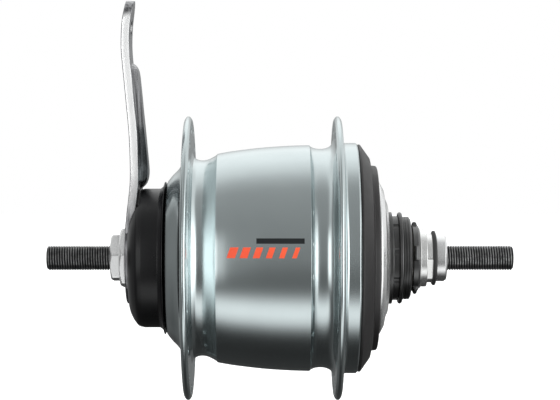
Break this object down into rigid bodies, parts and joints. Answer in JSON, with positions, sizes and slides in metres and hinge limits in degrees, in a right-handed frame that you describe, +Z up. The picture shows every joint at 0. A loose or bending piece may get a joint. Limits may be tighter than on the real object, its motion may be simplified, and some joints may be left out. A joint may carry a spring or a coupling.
{
  "type": "bicycle hub gear",
  "caption": "Bicycle rear hub with planetary gears and a back-pedal brake in a drilled twin-flange shell, reaction arm up, threaded axle ends.",
  "frame": {"origin": "on the axle's centre line, midway between the outer faces of the two locknuts", "axes": "+X along the axle towards the drive side, +Z up along the brake arm, +Y forward by the right-hand rule"},
  "size_m": [0.184, 0.1118, 0.1574],
  "materials": {
    "shell_satin_silver": "fine turned and satin lacquered",
    "black_oxide_steel": "black oxide on a rolled thread",
    "zinc_plated_steel": "bright zinc plate",
    "pressed_steel": "pressed and zinc plated",
    "black_cap": "smooth black with a soft shine",
    "dark_moulding": "dark grey moulding",
    "bright_cover": "bright turned cover",
    "black_driver": "black phosphated steel",
    "dark_rotor": "dark plated steel",
    "bright_cone": "bright turned steel",
    "rubber_black": "moulded rubber",
    "hardened_steel": "ground and oiled",
    "gear_steel": "case hardened",
    "ball_steel": "polished",
    "cage_plastic": "natural nylon",
    "shoe_bronze": "sintered bronze",
    "spring_steel": "blued spring steel"
  },
  "bodies": {
    "axle_set": {"axle": "black_oxide_steel", "left_locknut": "zinc_plated_steel", "brake_arm_nut": "zinc_plated_steel", "brake_arm": "pressed_steel", "left_dust_cap": "black_cap", "brake_cone": "hardened_steel", "shoe_springs": "spring_steel", "brake_roller_cage": "cage_plastic", "sun_gear_1": "gear_steel", "sun_gear_4": "gear_steel", "return_spring": "spring_steel", "right_cone": "bright_cone", "lock_washer": "rubber_black", "right_locknut": "zinc_plated_steel"},
    "shell": {"hub_shell": "shell_satin_silver", "brake_drum": "hardened_steel", "left_bearing_cup": "hardened_steel", "right_seal_ring": "dark_moulding", "right_bearing_cup": "hardened_steel"},
    "output_ring": {"ring_gear_2": "gear_steel", "clutch_cage": "cage_plastic", "clutch_rollers": "hardened_steel"},
    "carrier": {"carrier_left": "hardened_steel", "carrier_middle": "hardened_steel", "carrier_right": "hardened_steel", "planet_pins_low": "hardened_steel", "planet_pins_high": "hardened_steel"},
    "driver_set": {"driver": "black_driver", "ring_gear_1": "gear_steel", "sprocket_snap_ring": "black_driver", "right_dust_cap": "bright_cover"},
    "sun_2": {"sun_gear_2": "gear_steel"},
    "sun_3": {"sun_gear_3": "gear_steel"},
    "left_balls": {"left_bearing_balls": "ball_steel", "left_ball_cage": "cage_plastic"},
    "right_balls": {"right_bearing_balls": "ball_steel", "right_ball_cage": "cage_plastic"},
    "driver_balls": {"driver_bearing_balls": "ball_steel", "driver_ball_cage": "cage_plastic"},
    "shifter": {"shift_rotor": "dark_rotor", "control_sleeve": "dark_rotor"},
    "cam": {"brake_cam": "hardened_steel"},
    "low_planet_1": {"planet_low_1": "gear_steel"},
    "high_planet_1": {"planet_high_1": "gear_steel"},
    "shoe_1": {"brake_shoe_1": "shoe_bronze", "brake_rollers_1": "hardened_steel"},
    "low_planet_2": {"planet_low_2": "gear_steel"},
    "high_planet_2": {"planet_high_2": "gear_steel"},
    "shoe_2": {"brake_shoe_2": "shoe_bronze", "brake_rollers_2": "hardened_steel"},
    "low_planet_3": {"planet_low_3": "gear_steel"},
    "high_planet_3": {"planet_high_3": "gear_steel"},
    "shoe_3": {"brake_shoe_3": "shoe_bronze", "brake_rollers_3": "hardened_steel"},
    "pawl_1": {"sun_pawl_1": "spring_steel"},
    "pawl_2": {"sun_pawl_2": "spring_steel"},
    "pawl_3": {"sun_pawl_3": "spring_steel"},
    "pawl_4": {"sun_pawl_4": "spring_steel"}
  },
  "joints": [
    {"name": "driver_spin", "type": "hinge", "parent": "axle_set", "child": "driver_set", "pos_m": [0, 0, 0], "axis": [1, 0, 0], "continuous": true},
    {"name": "carrier_spin", "type": "hinge", "parent": "axle_set", "child": "carrier", "pos_m": [0, 0, 0], "axis": [1, 0, 0], "continuous": true},
    {"name": "output_ring_spin", "type": "hinge", "parent": "axle_set", "child": "output_ring", "pos_m": [0, 0, 0], "axis": [1, 0, 0], "continuous": true},
    {"name": "shell_freewheel", "type": "hinge", "parent": "output_ring", "child": "shell", "pos_m": [0, 0, 0], "axis": [1, 0, 0], "continuous": true},
    {"name": "sun_2_spin", "type": "hinge", "parent": "axle_set", "child": "sun_2", "pos_m": [0, 0, 0], "axis": [1, 0, 0], "continuous": true},
    {"name": "sun_3_spin", "type": "hinge", "parent": "axle_set", "child": "sun_3", "pos_m": [0, 0, 0], "axis": [1, 0, 0], "continuous": true},
    {"name": "low_planet_1_spin", "type": "hinge", "parent": "carrier", "child": "low_planet_1", "pos_m": [0.013, 0.0095, 0.01645], "axis": [1, 0, 0], "continuous": true},
    {"name": "high_planet_1_spin", "type": "hinge", "parent": "carrier", "child": "high_planet_1", "pos_m": [-0.004, 0.021, 0], "axis": [1, 0, 0], "continuous": true},
    {"name": "low_planet_2_spin", "type": "hinge", "parent": "carrier", "child": "low_planet_2", "pos_m": [0.013, -0.019, 0], "axis": [1, 0, 0], "continuous": true},
    {"name": "high_planet_2_spin", "type": "hinge", "parent": "carrier", "child": "high_planet_2", "pos_m": [-0.004, -0.0105, 0.01819], "axis": [1, 0, 0], "continuous": true},
    {"name": "low_planet_3_spin", "type": "hinge", "parent": "carrier", "child": "low_planet_3", "pos_m": [0.013, 0.0095, -0.01645], "axis": [1, 0, 0], "continuous": true},
    {"name": "high_planet_3_spin", "type": "hinge", "parent": "carrier", "child": "high_planet_3", "pos_m": [-0.004, -0.0105, -0.01819], "axis": [1, 0, 0], "continuous": true},
    {"name": "left_balls_spin", "type": "hinge", "parent": "axle_set", "child": "left_balls", "pos_m": [0, 0, 0], "axis": [1, 0, 0], "continuous": true},
    {"name": "right_balls_spin", "type": "hinge", "parent": "axle_set", "child": "right_balls", "pos_m": [0, 0, 0], "axis": [1, 0, 0], "continuous": true},
    {"name": "driver_balls_spin", "type": "hinge", "parent": "axle_set", "child": "driver_balls", "pos_m": [0, 0, 0], "axis": [1, 0, 0], "continuous": true},
    {"name": "shift_turn", "type": "hinge", "parent": "axle_set", "child": "shifter", "pos_m": [0.054, 0, 0], "axis": [1, 0, 0], "range_deg": [-54, 72]},
    {"name": "brake_cam_turn", "type": "hinge", "parent": "axle_set", "child": "cam", "pos_m": [-0.03, 0, 0], "axis": [1, 0, 0], "range_deg": [0, 15]},
    {"name": "brake_shoe_1_slide", "type": "slide", "parent": "axle_set", "child": "shoe_1", "axis": [0, 1, 0], "range_m": [0, 0.0003]},
    {"name": "brake_shoe_2_slide", "type": "slide", "parent": "axle_set", "child": "shoe_2", "axis": [0, -0.5, 0.866], "range_m": [0, 0.0003]},
    {"name": "brake_shoe_3_slide", "type": "slide", "parent": "axle_set", "child": "shoe_3", "axis": [0, -0.5, -0.866], "range_m": [0, 0.0003]},
    {"name": "sun_pawl_1_swing", "type": "hinge", "parent": "axle_set", "child": "pawl_1", "pos_m": [0.013, 0.0053, 0], "axis": [1, 0, 0], "range_deg": [0, 14]},
    {"name": "sun_pawl_2_swing", "type": "hinge", "parent": "axle_set", "child": "pawl_2", "pos_m": [0.0021, 0.0053, 0], "axis": [1, 0, 0], "range_deg": [-5, 0]},
    {"name": "sun_pawl_3_swing", "type": "hinge", "parent": "axle_set", "child": "pawl_3", "pos_m": [-0.0047, 0.0053, 0], "axis": [1, 0, 0], "range_deg": [-5, 0]},
    {"name": "sun_pawl_4_swing", "type": "hinge", "parent": "axle_set", "child": "pawl_4", "pos_m": [-0.0113, 0.0053, 0], "axis": [1, 0, 0], "range_deg": [0, 14]}
  ],
  "couplings": [
    {"joint": "carrier_spin", "follows": "driver_spin", "ratio": 0.52632},
    {"joint": "output_ring_spin", "follows": "driver_spin", "ratio": 0.84211},
    {"joint": "sun_2_spin", "follows": "driver_spin", "ratio": -0.87719},
    {"joint": "sun_3_spin", "follows": "driver_spin", "ratio": -0.26316},
    {"joint": "low_planet_1_spin", "follows": "driver_spin", "ratio": 1.2919},
    {"joint": "high_planet_1_spin", "follows": "driver_spin", "ratio": 1.0526},
    {"joint": "low_planet_2_spin", "follows": "driver_spin", "ratio": 1.2919},
    {"joint": "high_planet_2_spin", "follows": "driver_spin", "ratio": 1.0526},
    {"joint": "low_planet_3_spin", "follows": "driver_spin", "ratio": 1.2919},
    {"joint": "high_planet_3_spin", "follows": "driver_spin", "ratio": 1.0526},
    {"joint": "left_balls_spin", "follows": "driver_spin", "ratio": 0.50461},
    {"joint": "right_balls_spin", "follows": "driver_spin", "ratio": 0.91671},
    {"joint": "driver_balls_spin", "follows": "driver_spin", "ratio": 0.56944},
    {"joint": "brake_shoe_1_slide", "follows": "brake_cam_turn", "m_per_rad": 0.0011459},
    {"joint": "brake_shoe_2_slide", "follows": "brake_cam_turn", "m_per_rad": 0.0011459},
    {"joint": "brake_shoe_3_slide", "follows": "brake_cam_turn", "m_per_rad": 0.0011459}
  ]
}
